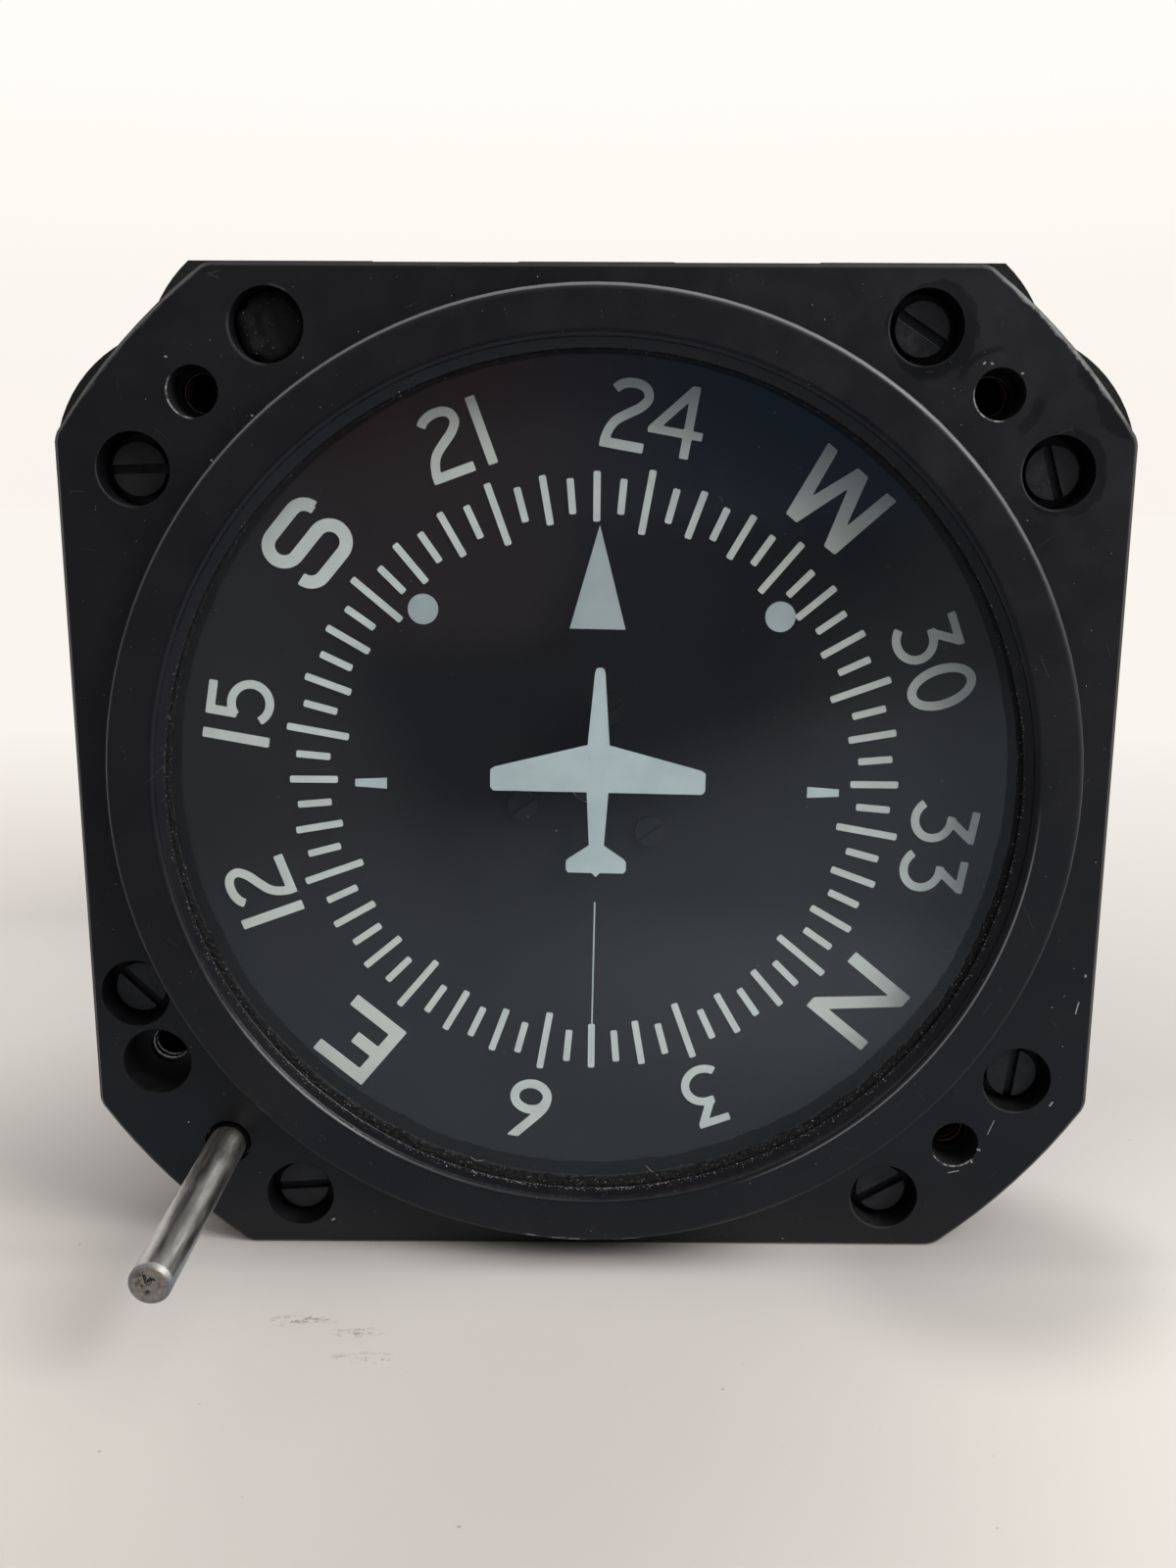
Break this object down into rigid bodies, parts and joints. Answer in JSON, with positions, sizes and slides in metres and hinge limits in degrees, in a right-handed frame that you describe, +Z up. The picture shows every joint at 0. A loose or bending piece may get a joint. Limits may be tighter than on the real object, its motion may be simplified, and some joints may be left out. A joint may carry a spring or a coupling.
{
  "type": "directional gyro indicator",
  "caption": "Air-driven directional gyro with a square flange, a vertical compass card behind flat glass, a bare setting shaft and a geared gimbal in a round case.",
  "frame": {"origin": "centre of the flange's front face, on the axis of the dial", "axes": "+X to the pilot's right, +Y to the rear of the instrument, +Z up"},
  "size_m": [0.0896, 0.1722, 0.0831],
  "materials": {
    "black_paint": "satin black paint over aluminium, scratched and dusty",
    "black_screws": "blackened steel with worn slots",
    "glass": "clear flat glass, dusty at its edge",
    "seal": "dull black",
    "retainer": "matte black",
    "glass_print": "pale blue-grey printed ink",
    "card_black": "matte black, faintly blue",
    "card_print": "aged grey-white luminous paint",
    "gasket": "dark cork and rubber",
    "alloy": "machined, dull",
    "steel": "turned",
    "brass": "machined, lightly tarnished",
    "filter_felt": "pressed filter felt, grey with dust",
    "brake": "hard leather pad"
  },
  "bodies": {
    "housing": {"bezel_flange": "black_paint", "bezel_screws": "black_screws", "glass": "glass", "glass_seal": "seal", "glass_retainer": "retainer", "aircraft_symbol": "glass_print", "index_marks": "glass_print", "flange_gasket": "gasket", "case": "black_paint", "rear_cover": "black_paint", "rear_gasket": "gasket", "rear_cover_screws": "black_screws", "filter_element": "filter_felt", "filter_cover": "alloy", "filter_screw": "steel", "vacuum_fitting": "brass", "mechanism_frame": "alloy", "frame_screws": "steel", "card_bearings": "brass", "upper_gimbal_bearing": "steel", "lower_gimbal_bearing": "steel", "air_duct": "alloy", "shaft_bush": "brass", "idler_stub": "steel", "lever_bracket": "alloy", "lever_pin": "steel"},
    "card_assembly": {"compass_card": "card_black", "card_ticks": "card_print", "card_hub": "alloy", "card_screws": "black_screws", "card_shaft": "steel", "card_setting_gear": "brass", "card_bevel_gear": "brass"},
    "outer_gimbal_assembly": {"outer_gimbal": "alloy", "upper_trunnion": "steel", "lower_trunnion": "steel", "azimuth_gear": "brass", "air_jets": "brass", "gimbal_bushes": "brass"},
    "gyro_frame": {"inner_gimbal": "alloy", "gimbal_pivots": "steel", "spin_bearings": "steel"},
    "gyro_rotor": {"rotor": "brass", "rotor_shaft": "steel"},
    "idler": {"idler_gear": "brass"},
    "caging_collar": {"cage_collar": "brass"},
    "setting_shaft_assembly": {"setting_shaft": "steel", "setting_pinion": "brass", "shaft_clips": "steel"},
    "caging_lever_assembly": {"caging_lever": "steel", "brake_pad": "brake"}
  },
  "joints": [
    {"name": "gimbal_turn", "type": "hinge", "parent": "housing", "child": "outer_gimbal_assembly", "pos_m": [0, 0.076, 0], "axis": [0, 0, 1], "continuous": true},
    {"name": "card_turn", "type": "hinge", "parent": "housing", "child": "card_assembly", "pos_m": [0, 0.019, 0], "axis": [0, 1, 0], "continuous": true},
    {"name": "gimbal_tilt", "type": "hinge", "parent": "outer_gimbal_assembly", "child": "gyro_frame", "pos_m": [0, 0.076, 0], "axis": [0, 1, 0], "range_deg": [-55, 55]},
    {"name": "rotor_spin", "type": "hinge", "parent": "gyro_frame", "child": "gyro_rotor", "pos_m": [0, 0.076, 0], "axis": [1, 0, 0], "continuous": true},
    {"name": "idler_spin", "type": "hinge", "parent": "housing", "child": "idler", "pos_m": [-0.02471, 0.0149, -0.02471], "axis": [0, 1, 0], "continuous": true},
    {"name": "cage_push", "type": "slide", "parent": "housing", "child": "caging_collar", "axis": [0, 1, 0], "range_m": [0, 0.005]},
    {"name": "set_turn", "type": "hinge", "parent": "caging_collar", "child": "setting_shaft_assembly", "pos_m": [-0.03162, 0, -0.03162], "axis": [0, 1, 0], "continuous": true},
    {"name": "lever_swing", "type": "hinge", "parent": "housing", "child": "caging_lever_assembly", "pos_m": [-0.02004, 0.022, -0.02004], "axis": [0.7071, 0, -0.7071], "range_deg": [0, 24]}
  ],
  "couplings": [
    {"joint": "card_turn", "follows": "gimbal_turn", "ratio": -1},
    {"joint": "idler_spin", "follows": "gimbal_turn", "ratio": 5.25},
    {"joint": "lever_swing", "follows": "cage_push", "rad_per_m": 83.776}
  ]
}
